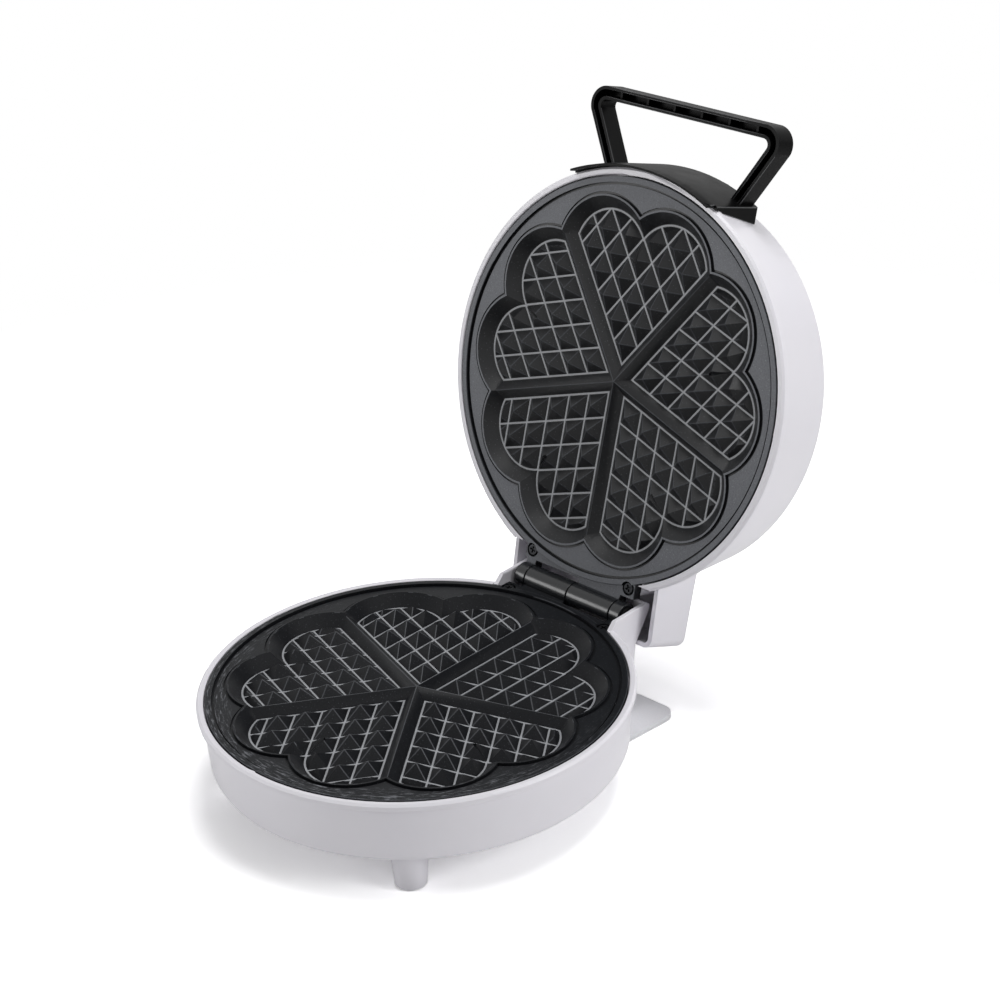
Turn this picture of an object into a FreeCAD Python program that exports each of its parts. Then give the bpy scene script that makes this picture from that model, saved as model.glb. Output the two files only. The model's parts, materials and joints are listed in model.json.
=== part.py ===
"""Heart waffle maker: two hinged halves with identical cast plates, shown with the lid open.

Both halves are modelled face up: the parting plane is z = 0, the plate's centre is the
origin and the hinge lies towards +Y.  The lid half is then turned over onto the base and
swung open, and last of all the whole appliance is stood on z = 0.
"""
import FreeCAD, Part
import math
import os

from FreeCAD import Vector

# ---------------------------------------------------------------- cooking plates
plate_r = 97.0            # outer radius of the bead ring
bead_w = 2.9              # width of the bead ring
bead_d = 0.15             # bead face below the parting plane
field_d = 1.3             # flat field below the parting plane
lip_d = 0.5               # lips round the hearts below the parting plane
lip_w = 0.9
rim_t = 4.8               # thickness of the plate's outer rim
rim_w = 8.5               # radial width of that thinner rim
casting_t = 3.4           # metal left under the moulds

heart_count = 5
lobe_r = 22.4             # radius of a lobe at the mould floor
mould_margin = 14.5       # from the mould floors to the plate's edge
divider_half_w = 4.2      # from a divider's centre line to the mould floor
mould_d = 6.0             # mould floor below the parting plane
stud_pitch = 11.93        # from grid line to grid line
strip_w = 1.3             # flat strip between two studs
stud_h = 4.8              # height of the pyramid studs

# ---------------------------------------------------------------- hinge
hinge_set = 9.5           # hinge axis behind the plate's edge, on the parting plane
open_angle = 107.0        # lid against its stop
barrel_r = 6.2
long_knuckle = 27.2       # from the middle plane to the long knuckle's far end
short_knuckle = 6.0
knuckle_gap = 0.6
pin_r = 2.5
pin_fit = 0.05            # radial running clearance on the pin
flange_half_w = 35.3
flange_t = 5.0
flange_set = 8.5          # rear edge of the flange ahead of the hinge axis
flange_gap = 0.5          # flange to the ears
cap_r = 5.0
cap_t = 1.2
cap_dome = 0.5            # height of the cap's sloping edge
cap_gap = 0.3             # cap to the knuckle beside it

# ---------------------------------------------------------------- casings
wall = 2.4
rim_w_casing = 3.4        # bead round the mouth of both casings
rim_h = 4.0
rim_chamfer = 1.0
plate_play = 0.6          # casing rim to plate edge
base_rim_step = 2.5       # base's wall just under the bead stands back by this much
lid_rim_step = 0.8
seat_w = 5.0              # ledge that carries the plate's rim
base_depth = 32.6
base_draft = 1.5          # the base's wall leans in by this much down to its underside
base_edge_r = 4.0
lid_depth = 44.5
lid_draft = 7.1
lid_edge_r = 3.0
edge_share = 1 - math.sqrt(0.5)  # two flats stand in for the round lower edges
touch = 0.1               # gap between pieces that are screwed together on curved faces

# ---------------------------------------------------------------- rear of the base
ear_wall = 2.4
ear_top = 4.0
ear_top_reach = 11.4      # front end of the ears' top edge ahead of the hinge axis
ear_return_w = 8.0        # inturned edge behind the hinge caps
ear_swing_gap = 0.7       # ear to the swinging plate's edge
ear_slot_gap = 0.7        # ear to the casing of the lid
ear_slot_d = 5.4          # slots for the ears in the lid's rim
nose_back = 12.0          # rear end of the ears behind the hinge axis
nose_low_z = 0.8
nose_low_r = 4.0
nose_r = 1.5
waist_back = 2.0          # waist behind the hinge axis, where the open lid finds its stop
waist_z = -14.5
leg_lean = 5.7            # rear wall of the leg leans forward from the waist by this much
leg_l = 40.8              # length of the leg at its foot
leg_low_r = 6.0           # rear edge of the leg's foot
shelf_t = 2.5             # floor under the hinge, level with the waist
notch_d = 7.5             # room for the plate's flange in the lid's casing

# ---------------------------------------------------------------- hood at the rear of the lid
hood_half_w = 46.3
hood_wall = 2.4
hood_step = 9.0           # hood below the lid's top
hood_back = 13.3          # rear wall behind the hinge axis, at the parting plane
hood_draft = 3.2          # the rear wall leans in by this much over its depth
hood_corner_r = 5.0
hood_low_r = 4.0
hood_mouth_d = 3.0        # front end of the hood's mouth below the parting plane
hood_stop_d = 7.2         # rear end of the mouth, which meets the waist when the lid is open

# ---------------------------------------------------------------- stand and feet
stand_t = 2.5
stand_half_w = 57.5
stand_front_half_w = 54.0
stand_front_over = 2.0    # stand ahead of the leg
stand_back = 9.0          # stand behind the hinge axis
stand_corner_r = 7.0
leg_h = 14.9              # leg under the base's underside
foot_angle = 42.0
foot_inset = 12.0         # foot's axis inside the edge of the base's underside
foot_top_r = 8.8
foot_low_r = 7.3
pad_t = 1.6
pad_proud = 0.6
foot_pad_r = 5.6
stand_pad_r = 6.0
stand_pad_inset = 10.0

# ---------------------------------------------------------------- handle
saddle_half_w = 43.5
saddle_over = 2.0         # saddle outside the lid's bead
lip_proud = 5.5           # saddle's lip beyond the parting plane, in front of the base's bead
lip_gap = 0.5             # lip to the base's bead
lip_half_w = 42.0
saddle_step = 13.5        # saddle below the lid's top
saddle_wall = 2.4
loop_inset = 2.0          # loop's legs inside the saddle's ends
loop_flare = 30.0         # lean of the legs from straight ahead
loop_reach = 29.8         # grip ahead of the saddle
loop_leg_w = 6.0
loop_grip_w = 6.5
loop_corner_r = 9.0
loop_inner_r = 3.0
loop_face = 19.3          # open side of the channel below the parting plane
loop_over = -0.7          # back of the loop beyond the saddle
channel_wall = 1.6
channel_back = 2.2
gusset_count = 6
gusset_t = 1.2
gusset_low = 3.0          # gussets below the channel's open side

# ---------------------------------------------------------------- heating
element_ring_r = 58.0
element_w = 6.4           # face pressed against the plate
element_back_w = 3.0
element_h = 5.0
element_gap = 44.0        # degrees left open at the rear
element_pin_r = 1.4
element_pin_l = 13.0
nub_count = 6             # pairs of cast nubs that hold the element
nub_w = 2.6
nub_l = 9.0
nub_h = 3.6
nub_gap = 0.4
reflector_margin = 13.0   # dish inside the plate's edge
reflector_t = 0.8
reflector_dish = 4.0      # height of its turned-up edge
post_h = 11.0             # cast post that carries the reflector
reflector_post_r = 6.0
thermostat_r = 8.0
thermostat_h = 7.0
thermostat_y = -30.0
thermostat_hole_r = 12.0
tab_l = 8.0
tab_w = 4.8
tab_t = 0.8
tab_x = 4.2
fuse_r = 2.2
fuse_l = 18.0
fuse_y = 33.0
clip_t = 0.8
clip_w = 8.0
clip_foot = 6.0

# ---------------------------------------------------------------- mains entry and lamps
terminal_l = 34.0
terminal_w = 14.0
terminal_play = 1.5       # terminals to the dish above them
terminal_gap = 5.0        # terminals ahead of the leg's hollow
terminal_ways = 3
terminal_hole_share = 0.3 # radius of a terminal's holes in parts of its height
gland_bore_r = 3.6
gland_neck_r = 5.4
gland_flange_r = 8.0
gland_flange_t = 2.4
lamp_r = 3.4
lamp_flange_r = 4.8
lamp_flange_t = 1.2
lamp_proud = 1.0
lamp_x = 9.0
lamp_y = -62.0
neon_r = 2.9
neon_l = 13.0

# ---------------------------------------------------------------- screws
screw_r = 1.9
screw_hole_r = 2.0
head_r = 3.2
head_t = 2.0
plate_screw_inset = 4.1   # from the flange's end
plate_screw_set = 4.5     # from the flange's rear edge
plate_screw_sink_r = 3.5
plate_screw_l = 14.0
post_r = 4.4
small_screw_r = 1.4
small_screw_hole_r = 1.5
small_head_r = 2.8
small_head_t = 1.5
small_screw_l = 8.0
small_boss_r = 3.8
stand_screw_inset = 4.0   # screw's axis inside the leg's side wall
handle_screw_angle = 15.0
handle_screw_z = -17.0
handle_screw_l = 5.5

# ---------------------------------------------------------------- worked out
heart_half_angle = 180.0 / heart_count
lobe_angle = heart_half_angle / 2
lobe_ring_r = plate_r - mould_margin - lobe_r
hinge_y = plate_r + hinge_set
floor_z = -mould_d
under_z = floor_z - casting_t
seat_z = -bead_d - rim_t
rim_low_z = -bead_d - rim_h
rim_in_r = plate_r + plate_play
rim_r = rim_in_r + rim_w_casing
base_top_r = rim_r - base_rim_step
base_end_r = base_top_r - base_draft
lid_top_r = rim_r - lid_rim_step
lid_end_r = lid_top_r - lid_draft
BASE = (base_depth, base_top_r, base_end_r, base_edge_r)
LID = (lid_depth, lid_top_r, lid_end_r, lid_edge_r)
flange_edge_y = hinge_y - flange_set
flange_low_z = -field_d - flange_t
plate_screw_x = flange_half_w - plate_screw_inset
plate_screw_y = flange_edge_y - plate_screw_set
knuckle_end = long_knuckle + knuckle_gap + short_knuckle
pin_end = knuckle_end + cap_gap + cap_t
reflector_z = under_z - post_h
reflector_r = plate_r - reflector_margin
leg_low_z = -base_depth - leg_h
stand_low_z = leg_low_z - stand_t
ear_in = flange_half_w + flange_gap
ear_half_w = ear_in + ear_wall
ear_front_y = math.sqrt(plate_r ** 2 - ear_in ** 2) + ear_swing_gap
ear_top_y = hinge_y - ear_top_reach
nose_y = hinge_y + nose_back
waist_y = hinge_y + waist_back
leg_rear_y = waist_y - leg_lean
leg_front_y = leg_rear_y - leg_l
leg_slope = leg_lean / (waist_z - leg_low_z)
stand_front_y = leg_front_y - stand_front_over
stand_rear_y = hinge_y + stand_back
stand_pad_x = stand_half_w - stand_pad_inset
stand_pad_y = stand_rear_y - stand_pad_inset
stand_screw_x = ear_in - stand_screw_inset
stand_screw_y = leg_front_y + leg_l / 2
hood_depth = lid_depth - hood_step
hood_rear_y = hinge_y + hood_back
hood_in = hood_half_w - hood_wall
saddle_r = rim_r + saddle_over
saddle_depth = lid_depth - saddle_step
loop_root_half_w = saddle_half_w - loop_inset
loop_root_y = -math.sqrt(saddle_r ** 2 - loop_root_half_w ** 2)
loop_end_y = -saddle_r - loop_reach
loop_back = saddle_depth + loop_over
gland_z = (waist_z + leg_low_z) / 2
terminal_y = leg_front_y - terminal_gap - terminal_w / 2
terminal_h = base_depth - wall + reflector_z - reflector_t - terminal_play
terminal_hole_r = terminal_hole_share * terminal_h
shelf_low_z = waist_z - shelf_t
rear_lean = math.degrees(math.atan(leg_slope))

AXIS_X = Vector(1, 0, 0)
AXIS_Y = Vector(0, 1, 0)
AXIS_Z = Vector(0, 0, 1)
ORIGIN = Vector(0, 0, 0)
HINGE = Vector(0, hinge_y, 0)
SIDES = (-1, 1)


# ================================================================ helpers
def flat(u, v):
    """A point of a plan view."""
    return Vector(u, v, 0)


def side(u, v):
    """A point of a side view, seen along X."""
    return Vector(0, u, v)


def section(u, v):
    """A point of a turned profile: radius and height."""
    return Vector(u, 0, v)


def corner_cut(before, corner, after, radius):
    """Start, middle and end of the arc that rounds one corner."""
    back = (before - corner).normalize()
    ahead = (after - corner).normalize()
    half = back.getAngle(ahead) / 2
    reach = radius / math.tan(half)
    middle = (back + ahead).normalize() * (radius / math.sin(half) - radius)
    return corner + back * reach, corner + middle, corner + ahead * reach


def outline(corners, view):
    """Closed face through (u, v) corners in one view; a third value rounds a corner."""
    points = [view(c[0], c[1]) for c in corners]
    radii = [c[2] if len(c) > 2 else 0 for c in corners]
    stops = []
    edges = []
    for i, point in enumerate(points):
        if radii[i]:
            start, middle, end = corner_cut(points[i - 1], point, points[(i + 1) % len(points)], radii[i])
            edges.append([Part.Arc(start, middle, end).toShape()])
            stops.append((start, end))
        else:
            edges.append([])
            stops.append((point, point))
    for i, (_, end) in enumerate(stops):
        start = stops[(i + 1) % len(stops)][0]
        if end.distanceToPoint(start) > 1e-6:
            edges[i].append(Part.LineSegment(end, start).toShape())
    return Part.Face(Part.Wire([edge for corner in edges for edge in corner]))


def turned(corners, angle=360):
    """Solid of revolution about Z from a radius and height profile."""
    return outline(corners, section).revolve(ORIGIN, AXIS_Z, angle)


def prism(corners, low, high):
    """Upright prism over a plan outline."""
    face = outline(corners, flat)
    face.translate(Vector(0, 0, low))
    return face.extrude(Vector(0, 0, high - low))


def slab(corners, left, right):
    """Prism across X over a side-view outline."""
    face = outline(corners, side)
    face.translate(Vector(left, 0, 0))
    return face.extrude(Vector(right - left, 0, 0))


def frustum(low, high):
    """Solid between two matching polygons, or from a polygon up to a point."""
    count = len(low)
    faces = [Part.Face(Part.makePolygon(low + low[:1]))]
    if len(high) > 1:
        faces.append(Part.Face(Part.makePolygon(high + high[:1])))
    for i in range(count):
        j = (i + 1) % count
        upper = [high[j], high[i]] if len(high) > 1 else [high[0]]
        loop = [low[i], low[j]] + upper
        faces.append(Part.Face(Part.makePolygon(loop + loop[:1])))
    solid = Part.Solid(Part.Shell(faces))
    if solid.Volume < 0:
        solid.reverse()
    return solid


def block(x_low, x_high, y_low, y_high, z_low, z_high):
    return Part.makeBox(x_high - x_low, y_high - y_low, z_high - z_low, Vector(x_low, y_low, z_low))


def rod(radius, start, along, length):
    return Part.makeCylinder(radius, length, start, along)


def upright(radius, x, y, low, high):
    return rod(radius, Vector(x, y, low), AXIS_Z, high - low)


def axle(radius, left, right):
    """Rod on the hinge axis."""
    return rod(radius, Vector(left, hinge_y, 0), AXIS_X, right - left)


def cone(low_r, high_r, x, y, low, high):
    return Part.makeCone(low_r, high_r, high - low, Vector(x, y, low), AXIS_Z)


def spun(shape, angle, axis=AXIS_Z, centre=ORIGIN):
    copy = shape.copy()
    copy.rotate(centre, axis, angle)
    return copy


def moved(shape, x, y, z):
    copy = shape.copy()
    copy.translate(Vector(x, y, z))
    return copy


def polar(radius, angle):
    """Plan point at an angle from the front, counted towards +X."""
    turn = math.radians(angle)
    return radius * math.sin(turn), -radius * math.cos(turn)


def make_screw(radius, wide_r, thick, length):
    """Screw with its head upwards: the head's underside is at z = 0."""
    return turned([(0, thick), (wide_r - thick / 3, thick), (wide_r, 0),
                   (radius, 0), (radius, -length), (0, -length)])


# ================================================================ cooking plate
def from_dividers(near, far):
    """Plan point of the front heart at given distances from its two divider lines."""
    turn = math.radians(heart_half_angle)
    return (near - far) / (2 * math.cos(turn)), -(near + far) / (2 * math.sin(turn))


def lobe_centres():
    return [polar(lobe_ring_r, lobe_angle * (2 * k + 1)) for k in range(2 * heart_count)]


def lobe_field(radius, low, high):
    """Prism over all the lobes and the field between them."""
    lobes = [upright(radius, x, y, low, high) for x, y in lobe_centres()]
    return prism(lobe_centres(), low, high).fuse(lobes).removeSplitter()


def heart_core(low, high, tip, reach):
    """Prism over the heart's middle, out to the line through its two lobe centres."""
    left = polar(lobe_ring_r, -lobe_angle)
    right = polar(lobe_ring_r, lobe_angle)
    turn = math.radians(heart_half_angle)
    out_x = reach * math.cos(turn)
    out_y = reach * math.sin(turn)
    corners = [(0, tip), (right[0] + out_x, right[1] + out_y), right,
               left, (left[0] - out_x, left[1] + out_y)]
    return prism(corners, low, high)


def heart_wedge():
    """The room between two dividers, whose sides are drafted at 45 degrees."""
    far = 2 * plate_r

    def triangle(z):
        inset = divider_half_w - (z - floor_z)
        corners = [(inset, inset), (inset, far), (far, inset)]
        return [Vector(*from_dividers(*corner), z) for corner in corners]

    return frustum(triangle(floor_z), triangle(0))


def heart_mould():
    """What one heart takes out of the plate, before its studs are put back."""
    lobes = [cone(lobe_r, lobe_r + mould_d, *polar(lobe_ring_r, s * lobe_angle), floor_z, 0) for s in SIDES]
    core = heart_core(floor_z, 0, mould_d, lobe_r)
    return core.fuse(lobes).common(heart_wedge()).removeSplitter()


def stud(row, column):
    """One pyramid; its foot is carried a little below the mould floor."""
    sink = strip_w / 4
    span = stud_pitch - strip_w
    grow = span / 2 * sink / stud_h
    near = divider_half_w + strip_w + row * stud_pitch - grow
    far = divider_half_w + strip_w + column * stud_pitch - grow
    wide = span + 2 * grow
    corners = [(near, far), (near + wide, far), (near + wide, far + wide), (near, far + wide)]
    foot = [Vector(*from_dividers(*corner), floor_z - sink) for corner in corners]
    tip = Vector(*from_dividers(near + wide / 2, far + wide / 2), floor_z + stud_h)
    return frustum(foot, [tip])


def stud_limit():
    """Where studs may stand: inside the lobes by one strip, drawn in at 45 degrees upwards."""
    low = floor_z - strip_w / 2
    high = floor_z + stud_h
    low_r = lobe_r - strip_w / 2
    lobes = [cone(low_r, low_r - (high - low), *polar(lobe_ring_r, s * lobe_angle), low, high) for s in SIDES]
    return heart_core(low, high, 0, lobe_r - stud_h).fuse(lobes)


def heart_studs():
    """All the studs of the front heart."""
    limit = stud_limit()
    rows = range(int((lobe_ring_r + lobe_r) / stud_pitch) + 1)
    studs = []
    for row in rows:
        for column in rows:
            piece = stud(row, column).common(limit)
            studs += [solid for solid in piece.Solids if solid.Volume > strip_w ** 3]
    return studs


def plate_disc():
    """Turned blank: bead, field, thin rim and thick middle."""
    return turned([
        (0, -field_d), (plate_r - bead_w, -field_d), (plate_r - bead_w, -bead_d), (plate_r, -bead_d),
        (plate_r, seat_z), (plate_r - rim_w, seat_z), (plate_r - rim_w, under_z), (0, under_z)])


def knuckle(left, right):
    """Barrel, and the web that joins it to the flange."""
    web = block(left, right, flange_edge_y - 1, hinge_y - barrel_r / 2, flange_low_z, -field_d)
    return axle(barrel_r, left, right).fuse(web)


def plate_flange():
    """Rear flange with a long and a short knuckle; the other plate's fill the gaps."""
    flange = block(-flange_half_w, flange_half_w, 0, flange_edge_y, flange_low_z, -field_d)
    flange = flange.cut(upright(plate_r - rim_w, 0, 0, flange_low_z, 0))
    long_one = knuckle(-long_knuckle, -knuckle_gap / 2)
    short_one = knuckle(long_knuckle + knuckle_gap, knuckle_end)
    return flange.fuse([long_one, short_one])


def element_nubs():
    """Pairs of cast nubs on either side of the element."""
    gap = element_w / 2 + nub_gap
    nubs = []
    for k in range(nub_count):
        angle = 180 / nub_count * (2 * k + 1)
        for start in (element_ring_r - gap - nub_w, element_ring_r + gap):
            nub = block(-nub_l / 2, nub_l / 2, start, start + nub_w, under_z - nub_h, under_z)
            nubs.append(spun(nub, angle))
    return nubs


def cooking_plate():
    lip_r = lobe_r + mould_d - lip_d + lip_w
    plate = plate_disc().fuse([plate_flange(), lobe_field(lip_r, -field_d - lip_d, -lip_d)])
    mould = heart_mould().cut(heart_studs())
    plate = plate.cut([spun(mould, 360.0 / heart_count * k) for k in range(heart_count)])
    post = upright(reflector_post_r, 0, 0, reflector_z, under_z)
    plate = plate.fuse(element_nubs() + [post])
    holes = [axle(pin_r + pin_fit, -knuckle_end - 1, knuckle_end + 1),
             upright(small_screw_hole_r, 0, 0, reflector_z - 1, reflector_z + small_screw_l)]
    for s in SIDES:
        x = s * plate_screw_x
        holes.append(upright(screw_hole_r, x, plate_screw_y, flange_low_z - 1, 0))
        holes.append(upright(plate_screw_sink_r, x, plate_screw_y, -field_d - head_t, 0))
    return plate.cut(holes).removeSplitter()


def plate_screws():
    screw = make_screw(screw_r, head_r, head_t, plate_screw_l)
    return [moved(screw, s * plate_screw_x, plate_screw_y, -field_d - head_t) for s in SIDES]


# ================================================================ heating
def heating_element():
    """Heater tube pressed to a wedge section, with a terminal pin at either end."""
    half = element_w / 2
    back = element_back_w / 2
    low_z = under_z - element_h
    ring = turned([(element_ring_r - half, under_z), (element_ring_r + half, under_z),
                   (element_ring_r + back, low_z), (element_ring_r - back, low_z)], 360 - element_gap)
    ring = spun(ring, 90 + element_gap / 2)
    pins = []
    for s in SIDES:
        x, y = polar(element_ring_r, 180 - s * (element_gap / 2 + 2))
        pins.append(upright(element_pin_r, x, y, low_z - element_pin_l, low_z))
    return ring.fuse(pins)


def reflector():
    """Sheet dish under the plate, screwed to the cast post."""
    top = reflector_z
    low = top - reflector_t
    rise = top + reflector_dish
    dish = turned([(0, top), (reflector_r - reflector_dish, top), (reflector_r - reflector_t, rise),
                   (reflector_r, rise), (reflector_r - reflector_dish + reflector_t, low), (0, low)])
    holes = [upright(small_screw_hole_r, 0, 0, low - 1, top + 1),
             upright(thermostat_hole_r, 0, thermostat_y, low - 1, top + 1)]
    for s in SIDES:
        x, y = polar(element_ring_r, 180 - s * (element_gap / 2 + 2))
        holes.append(upright(element_pin_r * 3, x, y, low - 1, top + 1))
    return dish.cut(holes)


def reflector_screw():
    screw = make_screw(small_screw_r, small_head_r, small_head_t, small_screw_l)
    screw = spun(screw, 180, AXIS_X)
    return moved(screw, 0, 0, reflector_z - reflector_t)


def thermostat():
    """Button thermostat against the plate, with two tabs."""
    low = under_z - thermostat_h
    body = upright(thermostat_r, 0, thermostat_y, low, under_z)
    tabs = [block(s * tab_x - tab_t / 2, s * tab_x + tab_t / 2, thermostat_y - tab_w / 2,
                  thermostat_y + tab_w / 2, low - tab_l, low) for s in SIDES]
    return body.fuse(tabs)


def thermal_fuse():
    return rod(fuse_r, Vector(-fuse_l / 2, fuse_y, under_z - fuse_r - touch), AXIS_X, fuse_l)


def fuse_clip():
    """Strap over the fuse, with a foot on either side against the plate."""
    reach = fuse_r + touch
    low = under_z - 2 * reach - clip_t
    outer = block(-clip_w / 2, clip_w / 2, fuse_y - reach - clip_t, fuse_y + reach + clip_t, low, under_z)
    inner = block(-clip_w, clip_w, fuse_y - reach, fuse_y + reach, low + clip_t, under_z)
    foot = block(-clip_w / 2, clip_w / 2, fuse_y - reach - clip_foot, fuse_y + reach + clip_foot,
                 under_z - clip_t, under_z)
    return outer.fuse(foot).cut(inner)


# ================================================================ casings
def wall_r(z, casing):
    """Outer radius of a casing's wall at one height."""
    depth, top_r, end_r, _ = casing
    share = (rim_low_z - z) / (rim_low_z + depth)
    return top_r + (end_r - top_r) * share


def casing_outside(casing, grow=0):
    """Rim bead above a drafted wall; grown by a clearance where another piece hugs it."""
    depth, top_r, end_r, edge_r = casing
    out_r = rim_r + grow
    low_z = rim_low_z - grow
    return turned([
        (0, -bead_d), (out_r - rim_chamfer, -bead_d), (out_r, -bead_d - rim_chamfer),
        (out_r, low_z + rim_chamfer),
        (top_r + grow + (out_r - top_r - grow) / 2, low_z), (top_r + grow, low_z),
        (wall_r(edge_r - depth, casing) + grow, edge_r - depth),
        (end_r + grow - edge_share * edge_r, edge_share * edge_r - depth - grow),
        (end_r + grow - edge_r, -depth - grow), (0, -depth - grow)])


def casing_inside(casing):
    """Room for the plate, the ledge under its rim and the hollow below."""
    ledge_z = seat_z - wall
    low_z = wall - casing[0]
    return turned([
        (0, 0), (rim_in_r, 0), (rim_in_r, seat_z), (plate_r - seat_w, seat_z), (plate_r - seat_w, ledge_z),
        (wall_r(ledge_z, casing) - wall, ledge_z), (wall_r(low_z, casing) - wall, low_z), (0, low_z)])


def leg_profile(inset):
    """Side view of the leg behind the base; inset by a wall thickness for its hollow."""
    lean = inset * math.hypot(1, leg_slope)
    top_z = shelf_low_z if inset else waist_z
    low_z = leg_low_z + inset
    rear_y = leg_rear_y - lean
    return [(leg_front_y + inset, low_z), (rear_y + inset * leg_slope, low_z, leg_low_r - inset),
            (rear_y + (top_z - leg_low_z) * leg_slope, top_z), (leg_front_y + inset, top_z)]


def ear(left, right):
    """Cheek beside the hinge, kept inside the sweep of the lid's plate."""
    front = ear_front_y - rim_w
    cheek = slab([(front, waist_z), (waist_y, waist_z), (nose_y, nose_low_z, nose_low_r),
                  (nose_y, ear_top, nose_r), (ear_top_y, ear_top), (ear_front_y, -bead_d), (front, -bead_d)],
                 left, right)
    return cheek.cut(casing_inside(BASE))


def ear_return(s):
    """Inturned edge of one ear along its rear contour."""
    inner = math.hypot(1, (nose_y - waist_y) / (nose_low_z - waist_z)) * ear_wall
    return slab([(waist_y - inner, waist_z), (waist_y, waist_z), (nose_y, nose_low_z, nose_low_r),
                 (nose_y, ear_top, nose_r), (nose_y - ear_wall, ear_top), (nose_y - ear_wall, nose_low_z)],
                *sorted((s * (ear_half_w - ear_return_w), s * ear_half_w)))


def screw_post(x, y, low, high, radius, hole_r, depth):
    """Boss with a blind hole from its upper end."""
    return upright(radius, x, y, low, high), upright(hole_r, x, y, high - depth, high + 1)


def base_housing():
    solid = casing_outside(BASE)
    solid = solid.fuse(slab(leg_profile(0), -ear_half_w, ear_half_w))
    hollow = casing_inside(BASE).fuse(slab(leg_profile(ear_wall), -ear_in, ear_in))
    hollow = hollow.fuse(block(-ear_in, ear_in, leg_front_y, nose_y, waist_z, 0))
    shelf = slab([(nose_y, shelf_low_z), (nose_y, waist_z), (plate_screw_y - post_r, waist_z),
                  (plate_screw_y - post_r, shelf_low_z)], -ear_half_w, ear_half_w)
    shelf = shelf.common(slab(leg_profile(0), -ear_half_w, ear_half_w))
    casing = solid.cut(hollow).fuse(shelf)
    added = []
    holes = []
    for s in SIDES:
        added.append(ear(*sorted((s * ear_in, s * ear_half_w))))
        added.append(ear_return(s))
        low = flange_low_z - plate_screw_l
        boss, hole = screw_post(s * plate_screw_x, plate_screw_y, low, flange_low_z, post_r, screw_hole_r,
                                plate_screw_l - 2)
        added.append(boss)
        holes.append(hole)
        boss_top = leg_low_z + small_screw_l + wall
        added.append(block(*sorted((s * stand_screw_x, s * ear_in)), stand_screw_y - small_boss_r,
                           stand_screw_y + small_boss_r, leg_low_z, boss_top))
        added.append(upright(small_boss_r, s * stand_screw_x, stand_screw_y, leg_low_z, boss_top))
        holes.append(upright(small_screw_hole_r, s * stand_screw_x, stand_screw_y, leg_low_z - 1,
                             leg_low_z + small_screw_l))
        holes.append(upright(small_screw_hole_r, *foot_place(s), -base_depth - 1, 0))
    holes.append(on_rear_wall(rod(gland_neck_r + touch, ORIGIN, AXIS_Y, 4 * ear_wall), -2 * ear_wall))
    return casing.fuse(added).cut(holes).removeSplitter()


def on_rear_wall(shape, offset):
    """Turns a piece made along +Y square to the leaning rear wall, at the gland."""
    y = leg_rear_y + (gland_z - leg_low_z) * leg_slope
    copy = moved(shape, 0, offset, 0)
    copy = spun(copy, -rear_lean, AXIS_X)
    return moved(copy, 0, y, gland_z)


def cord_gland():
    """Bush in the rear wall: flange outside, neck through the wall, snap ring inside."""
    inside = ear_wall + touch
    profile = [(gland_bore_r, -inside - gland_flange_t), (gland_neck_r + 1, -inside - gland_flange_t),
               (gland_neck_r + 1, -inside), (gland_neck_r, -inside), (gland_neck_r, touch),
               (gland_flange_r, touch), (gland_flange_r, gland_flange_t), (gland_bore_r, 2 * gland_flange_t)]
    return on_rear_wall(spun(turned(profile), -90, AXIS_X), 0)


def hood_block(inset):
    """Box over the hinge with a leaning rear wall, rounded edges and a slanting mouth."""
    half = hood_half_w - inset
    rear = hood_rear_y - inset
    low = -hood_depth + inset
    corner = hood_corner_r - inset
    tall = prism([(-half, leg_front_y), (half, leg_front_y), (half, rear, corner), (-half, rear, corner)],
                 -2 * hood_depth, hood_depth)
    tall = spun(tall, math.degrees(math.atan(hood_draft / hood_depth)), AXIS_X, Vector(0, rear, 0))
    far = rear + hood_depth
    mouth = [(far, 0), (0, 0)]
    if not inset:
        fall = (hood_stop_d - hood_mouth_d) / (hood_rear_y - leg_front_y)
        mouth = [(far, -hood_mouth_d - fall * (far - leg_front_y)), (0, fall * leg_front_y - hood_mouth_d)]
    box = tall.common(slab([(0, low), (far, low)] + mouth, -2 * half, 2 * half))
    rim = [edge for edge in box.Edges if edge.BoundBox.ZMax < low + touch and edge.BoundBox.YMax > hinge_y]
    return box.makeFillet(hood_low_r - inset, rim)


def lid_housing():
    round_wall = casing_outside(LID)
    solid = round_wall.fuse(hood_block(0))
    hood_room = hood_block(hood_wall).cut(round_wall)
    notches = [block(-ear_in, ear_in, leg_front_y, hinge_y, -notch_d, 0)]
    for s in SIDES:
        slot = sorted((s * (ear_in - 1), s * hood_in))
        notches.append(block(*slot, ear_front_y - ear_slot_gap, nose_y, -ear_slot_d, 0))
    hollow = casing_inside(LID).fuse([hood_room] + notches)
    casing = solid.cut(hollow)
    added = []
    holes = []
    for s in SIDES:
        boss, hole = screw_post(s * plate_screw_x, plate_screw_y, -hood_depth + 1, flange_low_z, post_r,
                                screw_hole_r, plate_screw_l - 2)
        added.append(boss)
        holes.append(hole)
        holes.append(upright(lamp_r, s * lamp_x, lamp_y, -lid_depth - 1, 0))
        holes.append(handle_screw_axis(small_screw_hole_r, s, lid_end_r - 2 * wall, rim_r))
    return casing.fuse(added).cut(holes)


# ================================================================ stand, feet, hinge
def foot_place(s):
    return polar(base_end_r - foot_inset, s * foot_angle)


def foot(s):
    """Tapered front foot with a pocket for its pad and a screw boss above."""
    body = cone(foot_low_r, foot_top_r, 0, 0, stand_low_z, -base_depth)
    pocket = upright(foot_pad_r + touch, 0, 0, stand_low_z - 1, stand_low_z + pad_t - pad_proud)
    hole = upright(small_screw_hole_r, 0, 0, -base_depth - small_screw_l, 0)
    return moved(body.cut([pocket, hole]), *foot_place(s), 0)


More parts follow.
